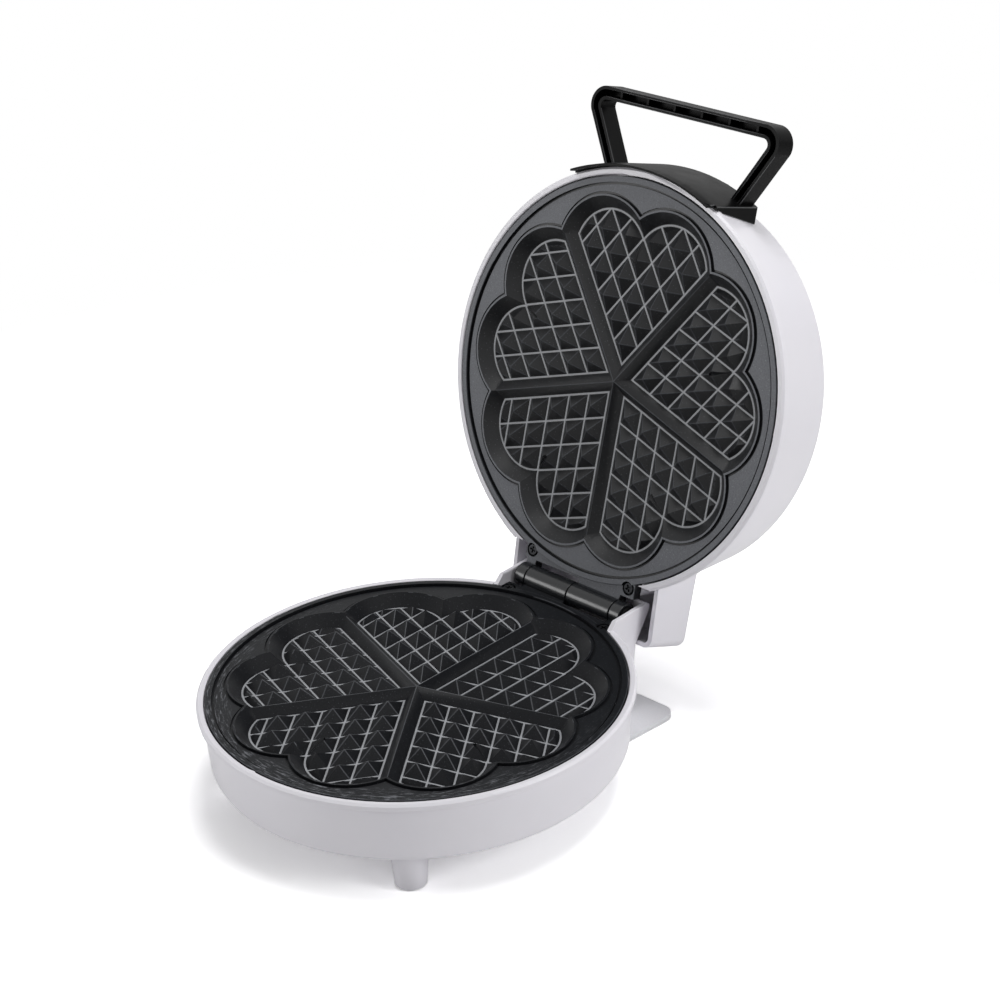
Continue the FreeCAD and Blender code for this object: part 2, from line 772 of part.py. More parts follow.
def foot_screws():
    screw = make_screw(small_screw_r, small_head_r, small_head_t, small_screw_l)
    return [moved(screw, *foot_place(s), -base_depth + wall) for s in SIDES]


def pad(radius, x, y):
    low = stand_low_z - pad_proud
    return upright(radius, x, y, low, low + pad_t)


def rear_stand():
    """Plate under the leg that keeps the open lid from tipping the appliance."""
    plate = prism([
        (-stand_front_half_w, stand_front_y, stand_corner_r),
        (stand_front_half_w, stand_front_y, stand_corner_r),
        (stand_half_w, stand_rear_y, stand_corner_r), (-stand_half_w, stand_rear_y, stand_corner_r)],
        stand_low_z, leg_low_z)
    holes = []
    for s in SIDES:
        holes.append(upright(stand_pad_r + touch, s * stand_pad_x, stand_pad_y, stand_low_z - 1,
                             stand_low_z + pad_t - pad_proud))
        holes.append(upright(small_screw_hole_r, s * stand_screw_x, stand_screw_y,
                             stand_low_z - 1, leg_low_z + 1))
        holes.append(upright(small_head_r + touch, s * stand_screw_x, stand_screw_y, stand_low_z - 1,
                             stand_low_z + small_head_t))
    return plate.cut(holes)


def stand_screws():
    screw = spun(make_screw(small_screw_r, small_head_r, small_head_t, small_screw_l), 180, AXIS_X)
    return [moved(screw, s * stand_screw_x, stand_screw_y, stand_low_z + small_head_t) for s in SIDES]


def hinge_pin():
    return axle(pin_r, cap_dome + pin_fit - pin_end, pin_end - cap_dome - pin_fit)


def hinge_cap(s):
    """Domed cap pushed onto one end of the pin."""
    start = knuckle_end + cap_gap
    side_l = cap_t - cap_dome
    cap = cone(cap_r, cap_r - cap_dome, 0, 0, side_l, cap_t).fuse(upright(cap_r, 0, 0, 0, side_l))
    cap = cap.cut(upright(pin_r + pin_fit, 0, 0, -1, side_l))
    return moved(spun(cap, s * 90, AXIS_Y), s * start, hinge_y, 0)


# ================================================================ handle
def loop_outline(outward, leg_in, corner_r):
    """Plan of the loop: outward moves its edge in, corner_r rounds the two front corners."""
    turn = math.radians(loop_flare)
    end_y = loop_end_y + outward
    root_x = loop_root_half_w - leg_in / math.cos(turn)
    root_y = loop_root_y + loop_leg_w
    root_in = root_x - loop_leg_w * math.tan(turn)
    end_x = root_x + (loop_root_y - end_y) * math.tan(turn)
    return [(-root_in, root_y), (root_in, root_y), (end_x, end_y, corner_r), (-end_x, end_y, corner_r)]


def handle_screw_axis(radius, s, start, end):
    """Radial rod on the axis of one handle screw."""
    x, y = polar(1, s * handle_screw_angle)
    along = Vector(x, y, 0)
    return rod(radius, along * start + Vector(0, 0, handle_screw_z), along, end - start)


def saddle():
    """Hollow cap that hugs the front of the lid, with a lip that reaches down over the base's bead."""
    low = -saddle_depth
    rim_edge = rim_r + touch
    hook_z = rim_low_z - touch

    def hug(z):
        return wall_r(z, LID) + touch

    skin = turned([(rim_edge, -bead_d), (saddle_r, -bead_d), (saddle_r, low), (hug(low), low),
                   (hug(hook_z), hook_z), (rim_edge, hook_z)])
    top = hook_z - saddle_wall
    floor = low + saddle_wall
    room = turned([(lid_end_r - saddle_wall, top), (saddle_r - saddle_wall, top),
                   (saddle_r - saddle_wall, floor), (lid_end_r - saddle_wall, floor)])
    half = saddle_half_w - saddle_wall
    room = room.common(block(-half, half, -rim_r, 0, low, 0))
    front = block(-saddle_half_w, saddle_half_w, -2 * saddle_r, 0, low, 0)
    lip = turned([(rim_r + lip_gap, -1), (saddle_r, -1), (saddle_r, 0),
                  (saddle_r - saddle_over / 4, lip_proud), (rim_r + lip_gap, lip_proud)])
    lip = lip.common(block(-lip_half_w, lip_half_w, -2 * saddle_r, 0, -1, lip_proud))
    return skin.common(front).cut(room).fuse(lip)


def handle():
    low, high = -loop_back, -loop_face
    outer = prism(loop_outline(0, 0, loop_corner_r), low, high)
    inner = prism(loop_outline(loop_grip_w, loop_leg_w, loop_inner_r), low - 1, high + 1)
    ring = outer.cut(inner)
    groove = prism(loop_outline(channel_wall, channel_wall, loop_corner_r - channel_wall),
                   low + channel_back, high + 1)
    groove = groove.cut(prism(loop_outline(loop_grip_w - channel_wall, loop_leg_w - channel_wall,
                                           loop_inner_r + channel_wall), low, high + 2))
    gussets = []
    for k in range(gusset_count):
        x = loop_root_half_w * (2 * k / (gusset_count - 1) - 1)
        gussets.append(block(x - gusset_t / 2, x + gusset_t / 2, loop_end_y + 1, loop_end_y + loop_grip_w - 1,
                             low + 1, high - gusset_low))
    loop = ring.cut(groove).fuse(gussets)
    loop = loop.cut(upright(saddle_r - saddle_wall / 2, 0, 0, low - 1, high + 1))
    wall_room = casing_outside(LID, touch)
    bosses = []
    holes = []
    for s in SIDES:
        bosses.append(handle_screw_axis(small_boss_r, s, lid_end_r - wall, saddle_r - 1).cut(wall_room))
        holes.append(handle_screw_axis(small_screw_hole_r, s, lid_end_r - wall, saddle_r - saddle_wall))
    return saddle().fuse([loop] + bosses).cut(holes).removeSplitter()


def handle_screws():
    """Screws from inside the lid, through its wall into the saddle."""
    seat = wall_r(handle_screw_z - small_head_r, LID) - wall - touch
    screws = []
    for s in SIDES:
        screw = make_screw(small_screw_r, small_head_r, small_head_t, handle_screw_l)
        screw = moved(spun(screw, -90, AXIS_X), 0, -seat, handle_screw_z)
        screws.append(spun(screw, s * handle_screw_angle))
    return screws


# ================================================================ lamps and terminals
def lamp_lens(s):
    """Round lens through the lid, with a flange inside."""
    top = -lid_depth + wall
    lens = upright(lamp_r - touch, 0, 0, -lid_depth - lamp_proud, top)
    flange = upright(lamp_flange_r, 0, 0, top, top + lamp_flange_t)
    return moved(lens.fuse(flange), s * lamp_x, lamp_y, 0)


def neon_lamp(s):
    low = -lid_depth + wall + lamp_flange_t
    return upright(neon_r, s * lamp_x, lamp_y, low, low + neon_l)


def terminal_block():
    """Three-way mains terminals on the base's floor."""
    low = -base_depth + wall
    body = block(-terminal_l / 2, terminal_l / 2, terminal_y - terminal_w / 2, terminal_y + terminal_w / 2,
                 low, low + terminal_h)
    step = terminal_l / terminal_ways
    holes = []
    for k in range(terminal_ways):
        x = (k - (terminal_ways - 1) / 2) * step
        holes.append(rod(terminal_hole_r, Vector(x, 0, low + terminal_h / 2), AXIS_Y, 2 * terminal_y))
        holes.append(upright(terminal_hole_r, x, terminal_y, low + terminal_h / 2, low + terminal_h + 1))
    return body.cut(holes)


# ================================================================ assembly
def base_parts():
    return {
        "base_housing": base_housing(),
        "lower_plate": cooking_plate(),
        "lower_plate_screws": plate_screws(),
        "lower_element": heating_element(),
        "lower_reflector": reflector(),
        "lower_reflector_screw": reflector_screw(),
        "thermostat": thermostat(),
        "thermal_fuse": thermal_fuse(),
        "fuse_clip": fuse_clip(),
        "terminal_block": terminal_block(),
        "cord_gland": cord_gland(),
        "hinge_pin": hinge_pin(),
        "hinge_cap_left": hinge_cap(-1),
        "hinge_cap_right": hinge_cap(1),
        "rear_stand": rear_stand(),
        "stand_screws": stand_screws(),
        "front_foot_left": foot(-1),
        "front_foot_right": foot(1),
        "foot_screws": foot_screws(),
        "front_pad_left": pad(foot_pad_r, *foot_place(-1)),
        "front_pad_right": pad(foot_pad_r, *foot_place(1)),
        "rear_pad_left": pad(stand_pad_r, -stand_pad_x, stand_pad_y),
        "rear_pad_right": pad(stand_pad_r, stand_pad_x, stand_pad_y),
    }


def lid_parts():
    return {
        "lid_housing": lid_housing(),
        "upper_plate": cooking_plate(),
        "upper_plate_screws": plate_screws(),
        "upper_element": heating_element(),
        "upper_reflector": reflector(),
        "upper_reflector_screw": reflector_screw(),
        "lid_fuse": thermal_fuse(),
        "lid_fuse_clip": fuse_clip(),
        "handle": handle(),
        "handle_screws": handle_screws(),
        "power_lamp_lens": lamp_lens(-1),
        "ready_lamp_lens": lamp_lens(1),
        "power_lamp": neon_lamp(-1),
        "ready_lamp": neon_lamp(1),
    }


def as_one(shape):
    """A single shape from one piece or from a group of separate pieces."""
    return Part.makeCompound(shape) if isinstance(shape, list) else shape.copy()


def assembled():
    """Every node in place, with the lid open and the appliance standing on z = 0."""
    nodes = {name: as_one(shape) for name, shape in base_parts().items()}
    for name, shape in lid_parts().items():
        turned_over = spun(as_one(shape), 180, AXIS_Y)
        nodes[name] = spun(turned_over, -open_angle, AXIS_X, HINGE)
    box = Part.makeCompound(list(nodes.values())).optimalBoundingBox(False)
    to_stand = Vector(0, -box.Center.y, -box.ZMin)
    for shape in nodes.values():
        shape.translate(to_stand)
    return nodes


def write_parts():
    os.makedirs("parts", exist_ok=True)
    for name, shape in assembled().items():
        shape.exportStep(os.path.join("parts", name + ".step"))


write_parts()
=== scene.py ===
import json
import math
import bpy
from mathutils import Matrix, Vector

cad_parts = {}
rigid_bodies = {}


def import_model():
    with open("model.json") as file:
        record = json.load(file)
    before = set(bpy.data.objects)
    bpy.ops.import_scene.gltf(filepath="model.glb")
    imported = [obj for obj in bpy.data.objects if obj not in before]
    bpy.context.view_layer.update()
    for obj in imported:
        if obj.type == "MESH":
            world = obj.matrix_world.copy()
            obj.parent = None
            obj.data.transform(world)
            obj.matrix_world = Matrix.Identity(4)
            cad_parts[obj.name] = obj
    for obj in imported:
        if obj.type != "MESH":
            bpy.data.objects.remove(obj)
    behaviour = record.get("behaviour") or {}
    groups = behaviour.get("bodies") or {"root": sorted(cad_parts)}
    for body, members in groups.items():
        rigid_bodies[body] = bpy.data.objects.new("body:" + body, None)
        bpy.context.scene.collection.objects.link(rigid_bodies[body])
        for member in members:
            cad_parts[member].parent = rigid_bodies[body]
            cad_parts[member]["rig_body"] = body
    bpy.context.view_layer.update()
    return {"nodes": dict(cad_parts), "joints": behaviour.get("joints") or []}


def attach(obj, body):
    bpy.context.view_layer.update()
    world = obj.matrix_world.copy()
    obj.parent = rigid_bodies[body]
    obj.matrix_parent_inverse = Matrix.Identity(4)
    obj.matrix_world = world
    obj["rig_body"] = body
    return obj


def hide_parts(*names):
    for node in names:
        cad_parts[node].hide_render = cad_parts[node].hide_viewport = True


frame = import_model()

nodes = frame["nodes"]
mm = 0.001

# both halves are laid out from the hinge; a plate's own frame has its centre at zero and its rim at level zero
hinge = Vector(frame["joints"][0]["pos_m"])
openAngle = math.radians(frame["joints"][0]["range_deg"][1])
hingeSet = 106.5 * mm  # hinge axis behind the plates' centres
baseCentre = hinge - Vector((0, hingeSet, 0))
basePlace = Matrix.Translation(baseCentre)
lidPlace = (Matrix.Translation(hinge) @ Matrix.Rotation(-openAngle, 4, "X")
            @ Matrix.Translation((0, -hingeSet, 0)) @ Matrix.Rotation(math.pi, 4, "Y"))


def srgb(hexCode):
    # hex colour to the linear values that a shader takes
    parts = [int(hexCode[i:i + 2], 16) / 255 for i in (1, 3, 5)]
    return [p / 12.92 if p <= 0.04045 else ((p + 0.055) / 1.055) ** 2.4 for p in parts] + [1.0]


def addNode(tree, kind, settings=None, links=None):
    # settings go to input sockets where there is one of that name or number, and otherwise to the node itself
    node = tree.nodes.new(kind)
    for key, value in (settings or {}).items():
        if isinstance(key, int) or key in node.inputs:
            node.inputs[key].default_value = value
        else:
            setattr(node, key, value)
    for key, source in (links or {}).items():
        tree.links.new(source, node.inputs[key])
    return node


def newMaterial(name):
    material = bpy.data.materials.new(name)
    material.use_nodes = True
    tree = material.node_tree
    tree.nodes.clear()
    return material, tree


def makeActive(piece):
    if bpy.context.mode != "OBJECT":
        bpy.ops.object.mode_set(mode="OBJECT")
    bpy.ops.object.select_all(action="DESELECT")
    piece.select_set(True)
    bpy.context.view_layer.objects.active = piece


weld = {"merge": 0.004, "flat": 0.6, "cutSnap": 0.4}  # mm, degrees, mm


def mergedCopy(nodeName, pieceName, cuts=()):
    # a copy of a CAD piece: triangles welded, and flat faces made whole apart from the cuts
    makeActive(nodes[nodeName])
    bpy.ops.object.duplicate()
    piece = bpy.context.active_object
    piece.name = pieceName
    piece.data.name = pieceName
    for key in [k for k in piece.keys() if k.startswith("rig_")]:
        del piece[key]
    piece.parent = None
    makeActive(piece)
    bpy.ops.mesh.customdata_custom_splitnormals_clear()
    bpy.ops.object.mode_set(mode="EDIT")
    bpy.ops.mesh.select_mode(type="EDGE")
    bpy.ops.mesh.select_all(action="SELECT")
    bpy.ops.mesh.remove_doubles(threshold=weld["merge"] * mm)
    for point, normal in cuts:
        bpy.ops.mesh.select_all(action="SELECT")
        bpy.ops.mesh.bisect(plane_co=point, plane_no=normal, threshold=weld["cutSnap"] * mm)
        bpy.ops.mesh.mark_seam(clear=False)
    bpy.ops.mesh.select_all(action="SELECT")
    bpy.ops.mesh.dissolve_limited(angle_limit=math.radians(weld["flat"]), delimit={"SEAM"})
    bpy.ops.mesh.mark_seam(clear=True)
    bpy.ops.object.mode_set(mode="OBJECT")
    return piece


def radialCuts(place, angles):
    # planes through a plate's axis, which split ring-shaped faces into plain sectors
    turns = [math.radians(angle) for angle in angles]
    return [(place.translation, place.to_3x3() @ Vector((math.cos(t), math.sin(t), 0))) for t in turns]


def pickFaces(piece, test):
    # selects the faces that pass the test, and stays in edit mode
    makeActive(piece)
    bpy.ops.object.mode_set(mode="EDIT")
    bpy.ops.mesh.select_mode(type="FACE")
    bpy.ops.mesh.select_all(action="DESELECT")
    bpy.ops.object.mode_set(mode="OBJECT")
    for face in piece.data.polygons:
        face.select = bool(test(face))
    bpy.ops.object.mode_set(mode="EDIT")


def addSlots(piece, count):
    while len(piece.data.materials) < count:
        piece.data.materials.append(piece.data.materials[0])


def setMaterials(piece, materials):
    piece.data.materials.clear()
    for material in materials:
        piece.data.materials.append(material)


def facesWith(piece, slotIndex):
    return {face.index for face in piece.data.polygons if face.material_index == slotIndex}


# an edge stays sharp where it turns inwards or where a face beside it has less room than this many widths;
# slant is how far the next edge may lean over its own length and still run on
rounding = {"sharpness": 35, "faceRoom": 2.4, "sideRoom": 1.2, "slant": 0.35}


def roundEdges(piece, width, segments=2, leave=None, slotIndex=-1, faceRoom=rounding["faceRoom"]):
    makeActive(piece)
    addSlots(piece, slotIndex + 1)  # a bevel can only use a slot that is there
    bpy.ops.object.mode_set(mode="EDIT")
    bpy.ops.mesh.select_mode(type="EDGE")
    bpy.ops.mesh.select_all(action="DESELECT")
    bpy.ops.mesh.edges_select_sharp(sharpness=math.radians(rounding["sharpness"]))
    bpy.ops.object.mode_set(mode="OBJECT")
    mesh = piece.data
    room = width * mm
    points = [v.co for v in mesh.vertices]
    sharp = {edge.key for edge in mesh.edges if edge.select}
    sides = {key: [] for key in sharp}  # for each face beside the edge: its normal, and the way into it
    tight = set()  # edges with too little room
    for face in mesh.polygons:
        ring = list(face.vertices)
        keys = [(min(a, b), max(a, b)) for a, b in zip(ring, ring[1:] + ring[:1])]
        around = 0
        for i, key in enumerate(keys):
            along = points[ring[(i + 1) % len(ring)]] - points[ring[i]]
            around += along.length
            if key in sharp:
                sides[key].append((face.normal, face.normal.cross(along)))
                for j in (i - 1, (i + 1) % len(ring)):  # the next edges round this face
                    a, b = keys[j]
                    reach = (points[b] - points[a]).length
                    off = (points[b] - points[a]).cross(along.normalized()).length
                    runsOn = keys[j] in sharp and off < rounding["slant"] * reach
                    if off < rounding["sideRoom"] * room and not runsOn:
                        tight.add(key)
        if 2 * face.area / around < faceRoom * room:  # left of the sign is the width of a long face
            tight.update(keys)
    chosen = []
    for edge in mesh.edges:
        if edge.select:
            (_, inside), (normal, _) = sides[edge.key]
            middle = (points[edge.vertices[0]] + points[edge.vertices[1]]) / 2
            isOutward = normal.dot(inside) < 0
            if isOutward and edge.key not in tight and not (leave and leave(middle)):
                chosen.append(edge.index)
    bpy.ops.object.mode_set(mode="EDIT")
    bpy.ops.mesh.select_all(action="DESELECT")
    bpy.ops.object.mode_set(mode="OBJECT")
    for i in chosen:
        mesh.edges[i].select = True
    bpy.ops.object.mode_set(mode="EDIT")
    bpy.ops.mesh.bevel(offset=room, segments=segments, affect="EDGES", clamp_overlap=False,
                       loop_slide=False, material=slotIndex)
    bpy.ops.object.mode_set(mode="OBJECT")


def smoothPiece(piece, angle=36):
    makeActive(piece)
    bpy.ops.object.shade_smooth_by_angle(angle=math.radians(angle))
    bpy.ops.object.modifier_add(type="WEIGHTED_NORMAL")  # broad faces shade flat beside rounded edges
    piece.modifiers[-1].keep_sharp = True
    bpy.ops.object.modifier_apply(modifier=piece.modifiers[-1].name)


def finishPiece(piece, nodeName, materials):
    setMaterials(piece, materials)
    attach(piece, nodes[nodeName]["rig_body"])
    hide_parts(nodeName)


def makeWhiteAbs():
    # moulded ABS: waves of 38 mm from cooling, and a grain of 0.9 mm, coarser than the real one so it shows
    material, tree = newMaterial("mouldedWhiteAbs")
    place = addNode(tree, "ShaderNodeTexCoord").outputs["Object"]
    wave = addNode(tree, "ShaderNodeTexNoise", {"Scale": 1 / (38 * mm), "Detail": 1.0}, {"Vector": place})
    grain = addNode(tree, "ShaderNodeTexNoise", {"Scale": 1 / (0.9 * mm), "Detail": 2.0}, {"Vector": place})
    tone = addNode(tree, "ShaderNodeMix", {"data_type": "RGBA", 6: srgb("#E3E1E8"), 7: srgb("#E8E6EB")},
                   {0: wave.outputs["Fac"]})
    gloss = addNode(tree, "ShaderNodeMapRange", {"To Min": 0.26, "To Max": 0.36}, {"Value": grain.outputs["Fac"]})
    bump = addNode(tree, "ShaderNodeBump", {"Strength": 0.05, "Distance": 0.02 * mm},
                   {"Height": grain.outputs["Fac"]})
    shader = addNode(tree, "ShaderNodeBsdfPrincipled", {"IOR": 1.53}, {
        "Base Color": tone.outputs[2], "Roughness": gloss.outputs["Result"], "Normal": bump.outputs["Normal"]})
    addNode(tree, "ShaderNodeOutputMaterial", {}, {"Surface": shader.outputs["BSDF"]})
    return material


def makeMoulded(name, low, high, grainSize, rough, depth, shine=0.5):
    # spark-eroded plastic: tone follows a grain that is drawn coarser than real so it shows, gloss a 9 mm cloud
    material, tree = newMaterial(name)
    place = addNode(tree, "ShaderNodeTexCoord").outputs["Object"]
    grain = addNode(tree, "ShaderNodeTexNoise", {"Scale": 1 / (grainSize * mm), "Detail": 3.0}, {"Vector": place})
    cloud = addNode(tree, "ShaderNodeTexNoise", {"Scale": 1 / (9 * mm), "Detail": 2.0}, {"Vector": place})
    tone = addNode(tree, "ShaderNodeMix", {"data_type": "RGBA", 6: srgb(low), 7: srgb(high)},
                   {0: grain.outputs["Fac"]})
    gloss = addNode(tree, "ShaderNodeMapRange", {"To Min": rough[0], "To Max": rough[1]},
                    {"Value": cloud.outputs["Fac"]})
    bump = addNode(tree, "ShaderNodeBump", {"Strength": 0.3, "Distance": depth * mm},
                   {"Height": grain.outputs["Fac"]})
    shader = addNode(tree, "ShaderNodeBsdfPrincipled", {"IOR": 1.5, "Specular IOR Level": shine}, {
        "Base Color": tone.outputs[2], "Roughness": gloss.outputs["Result"], "Normal": bump.outputs["Normal"]})
    addNode(tree, "ShaderNodeOutputMaterial", {}, {"Surface": shader.outputs["BSDF"]})
    return material


def makeMetal(name, low, high, rough, streakWidth, metallic=1.0):
    # drawn or rolled metal: streaks along X in tone and gloss, several times the real width so that they show
    material, tree = newMaterial(name)
    place = addNode(tree, "ShaderNodeTexCoord").outputs["Object"]
    stretch = addNode(tree, "ShaderNodeMapping", {"Scale": (0.08, 1.0, 1.0)}, {"Vector": place})
    streak = addNode(tree, "ShaderNodeTexNoise", {"Scale": 1 / (streakWidth * mm), "Detail": 3.0},
                     {"Vector": stretch.outputs["Vector"]})
    tone = addNode(tree, "ShaderNodeMix", {"data_type": "RGBA", 6: srgb(low), 7: srgb(high)},
                   {0: streak.outputs["Fac"]})
    gloss = addNode(tree, "ShaderNodeMapRange", {"To Min": rough[0], "To Max": rough[1]},
                    {"Value": streak.outputs["Fac"]})
    shader = addNode(tree, "ShaderNodeBsdfPrincipled", {"Metallic": metallic}, {
        "Base Color": tone.outputs[2], "Roughness": gloss.outputs["Result"]})
    addNode(tree, "ShaderNodeOutputMaterial", {}, {"Surface": shader.outputs["BSDF"]})
    return material


def makeLens(name, hexCode):
    # clear tinted polycarbonate or glass, with ripples of 2.5 mm from moulding
    material, tree = newMaterial(name)
    place = addNode(tree, "ShaderNodeTexCoord").outputs["Object"]
    ripple = addNode(tree, "ShaderNodeTexNoise", {"Scale": 1 / (2.5 * mm), "Detail": 1.0}, {"Vector": place})
    bump = addNode(tree, "ShaderNodeBump", {"Strength": 0.2, "Distance": 0.05 * mm},
                   {"Height": ripple.outputs["Fac"]})
    shader = addNode(tree, "ShaderNodeBsdfPrincipled", {
        "Base Color": srgb(hexCode), "Roughness": 0.08, "IOR": 1.58, "Transmission Weight": 0.7},
        {"Normal": bump.outputs["Normal"]})
    addNode(tree, "ShaderNodeOutputMaterial", {}, {"Surface": shader.outputs["BSDF"]})
    return material


# the plate's outer ring is scuffed from where the scuffs start to where they are full, more towards the front
scuff = {"startRadius": 84, "fullRadius": 92, "backReach": 40, "frontReach": -60, "perTurn": 14.0, "width": 0.9,
         "colour": "#8E9096"}


def makeNonStick(name, low, high, fleck, rough, scuffed=False, shine=0.4):
    # sprayed PTFE on cast aluminium: a grain of 0.55 mm and flecks of 1.6 mm, both coarser than real so they show
    material, tree = newMaterial(name)
    place = addNode(tree, "ShaderNodeTexCoord").outputs["Object"]
    grain = addNode(tree, "ShaderNodeTexNoise", {"Scale": 1 / (0.55 * mm), "Detail": 3.0, "Roughness": 0.65},
                    {"Vector": place})
    ground = addNode(tree, "ShaderNodeMapRange", {"From Min": 0.3, "From Max": 0.7},
                     {"Value": grain.outputs["Fac"]})
    tone = addNode(tree, "ShaderNodeMix", {"data_type": "RGBA", 6: srgb(low), 7: srgb(high)},
                   {0: ground.outputs["Result"]})
    spots = addNode(tree, "ShaderNodeTexVoronoi", {"Scale": 1 / (1.6 * mm)}, {"Vector": place})
    spot = addNode(tree, "ShaderNodeMapRange", {"From Min": 0.2, "From Max": 0.08, "To Max": 0.4},
                   {"Value": spots.outputs["Distance"]})
    coat = addNode(tree, "ShaderNodeMix", {"data_type": "RGBA", 7: srgb(fleck)},
                   {0: spot.outputs["Result"], 6: tone.outputs[2]})
    colour = coat.outputs[2]
    if scuffed:
        local = addNode(tree, "ShaderNodeMapping", {"Location": tuple(-baseCentre)}, {"Vector": place})
        parts = addNode(tree, "ShaderNodeSeparateXYZ", {}, {"Vector": local.outputs["Vector"]})
        level = addNode(tree, "ShaderNodeCombineXYZ", {}, {"X": parts.outputs["X"], "Y": parts.outputs["Y"]})
        radius = addNode(tree, "ShaderNodeVectorMath", {"operation": "LENGTH"}, {0: level.outputs["Vector"]})
        angle = addNode(tree, "ShaderNodeMath", {"operation": "ARCTAN2"},
                        {0: parts.outputs["X"], 1: parts.outputs["Y"]})
        along = addNode(tree, "ShaderNodeMath", {"operation": "MULTIPLY", 1: scuff["perTurn"]},
                        {0: angle.outputs["Value"]})
        across = addNode(tree, "ShaderNodeMath", {"operation": "MULTIPLY", 1: 1 / (scuff["width"] * mm)},
                         {0: radius.outputs["Value"]})
        path = addNode(tree, "ShaderNodeCombineXYZ", {}, {"X": along.outputs["Value"], "Y": across.outputs["Value"]})
        brush = addNode(tree, "ShaderNodeTexNoise", {"Scale": 1.0, "Detail": 4.0, "Roughness": 0.7},
                        {"Vector": path.outputs["Vector"]})
        mark = addNode(tree, "ShaderNodeMapRange", {"From Min": 0.52, "From Max": 0.72},
                       {"Value": brush.outputs["Fac"]})
        inner = addNode(tree, "ShaderNodeMapRange",
                        {"From Min": scuff["startRadius"] * mm, "From Max": scuff["fullRadius"] * mm},
                        {"Value": radius.outputs["Value"]})
        front = addNode(tree, "ShaderNodeMapRange",
                        {"From Min": scuff["backReach"] * mm, "From Max": scuff["frontReach"] * mm},
                        {"Value": parts.outputs["Y"]})
        ring = addNode(tree, "ShaderNodeMath", {"operation": "MULTIPLY"},
                       {0: inner.outputs["Result"], 1: front.outputs["Result"]})
        wear = addNode(tree, "ShaderNodeMath", {"operation": "MULTIPLY"},
                       {0: ring.outputs["Value"], 1: mark.outputs["Result"]})
        worn = addNode(tree, "ShaderNodeMix", {"data_type": "RGBA", 7: srgb(scuff["colour"])},
                       {0: wear.outputs["Value"], 6: colour})
        colour = worn.outputs[2]
    gloss = addNode(tree, "ShaderNodeMapRange", {"To Min": rough[0], "To Max": rough[1]},
                    {"Value": grain.outputs["Fac"]})
    bump = addNode(tree, "ShaderNodeBump", {"Strength": 0.35, "Distance": 0.05 * mm},
                   {"Height": grain.outputs["Fac"]})
    shader = addNode(tree, "ShaderNodeBsdfPrincipled", {"IOR": 1.35, "Specular IOR Level": shine}, {
        "Base Color": colour, "Roughness": gloss.outputs["Result"], "Normal": bump.outputs["Normal"]})
    addNode(tree, "ShaderNodeOutputMaterial", {}, {"Surface": shader.outputs["BSDF"]})
    return material


# each line gives a dark and a light tone, a coating's fleck, and then the values that its function names, in mm

# injection moulded ABS: an even, slightly cool white with soft broad highlights
whiteAbs = makeWhiteAbs()
# the same plastic from an eroded mould: a duller light grey
greyAbs = makeMoulded("lightGreyAbs", "#D6D6DA", "#E0E0E3", 0.7, (0.38, 0.48), 0.02)
# glass filled nylon: deep black with a weak satin sheen
blackNylon = makeMoulded("satinBlackNylon", "#050505", "#0B0B0C", 0.5, (0.3, 0.42), 0.03, shine=0.06)
# nylon along the handle's rounded edges, painted in thin grey lines: a painted highlight where the edges catch the
# light
blackNylonPaintedHighlight = makeMoulded("satinBlackNylonPaintedHighlight", "#2E2F31", "#3C3D3F", 0.5, (0.26, 0.36), 0.02)
# moulded silicone: flat dark grey with no highlight
blackRubber = makeMoulded("blackSiliconeRubber", "#1A1A1B", "#242425", 0.8, (0.7, 0.85), 0.05)
# uncoloured nylon: warm off-white, half matt
nylonTerminal = makeMoulded("naturalNylon", "#D6D4C9", "#DEDCD2", 0.8, (0.4, 0.5), 0.02)
# pressed and fired steatite: cream with an uneven gloss
ceramicBody = makeMoulded("steatiteCeramic", "#D9D4C6", "#E2DED2", 0.6, (0.3, 0.5), 0.03)
# fresh non-stick coating in the moulds of the lid: near black, with a satin sheen on the walls that face the light
coatDark = makeNonStick("nonStickCoating", "#0B0C0E", "#17181B", "#5A5C60", (0.34, 0.46), shine=0.6)
# the coating of the base, dulled by oil: near black all over
coatDull = makeNonStick("nonStickCoatingOiled", "#0F1012", "#1C1D20", "#4A4C50", (0.34, 0.46), shine=0.2)
# the coating on the lid's flats, painted mid grey with pale flecks: painted light, lighter than the same coating on
# the base's flats because these flats face the lamps
coatFlatPaintedLight = makeNonStick("nonStickCoatingPaintedLight", "#5C5E63", "#74767B", "#A0A2A5", (0.36, 0.48))
# the coating on the base's flats: black, with pale scuffs round the front where a fork has scraped
coatFlatUsed = makeNonStick("nonStickCoatingScuffed", "#101114", "#1C1E21", "#54565C", (0.34, 0.46),
                            scuffed=True, shine=0.2)
# the coating in the valleys between the studs, painted light grey: a painted highlight where the valley floors face
# the light
coatFloorPaintedLight = makeNonStick("nonStickCoatingPaintedLightValley", "#96989C", "#AEB0B4", "#BCBEC0", (0.3, 0.42))
# the coating along edges, painted as a faint grey line on the ridges: a painted highlight where the rounded edges
# catch the light
coatEdgePaintedHighlight = makeNonStick("nonStickCoatingPaintedEdgeHighlight", "#34363A", "#45474B", "#6A6C70", (0.32, 0.44))
# thick coating on the cast knuckles: black and glossier, with long highlights
castSmooth = makeMoulded("smoothBlackCoating", "#131416", "#1D1F22", 2.5, (0.2, 0.32), 0.02)
# oil-blackened steel: dark with a dim metal glint
blackSteel = makeMetal("blackenedSteel", "#1D1E20", "#303134", (0.25, 0.4), 0.6, metallic=0.8)
# bright drawn rod: clean grey with fine lines
brightSteel = makeMetal("drawnSteelRod", "#9A9B9D", "#B8B9BB", (0.2, 0.32), 0.8)
# zinc plating: pale grey, a little cloudy
zincSteel = makeMetal("zincPlatedSteel", "#A9ABAC", "#C6C7C6", (0.25, 0.4), 1.0)
# steel that has glowed: brown grey and matt
heaterTube = makeMetal("oxidisedHeaterSteel", "#55504B", "#77706A", (0.4, 0.6), 2.0)
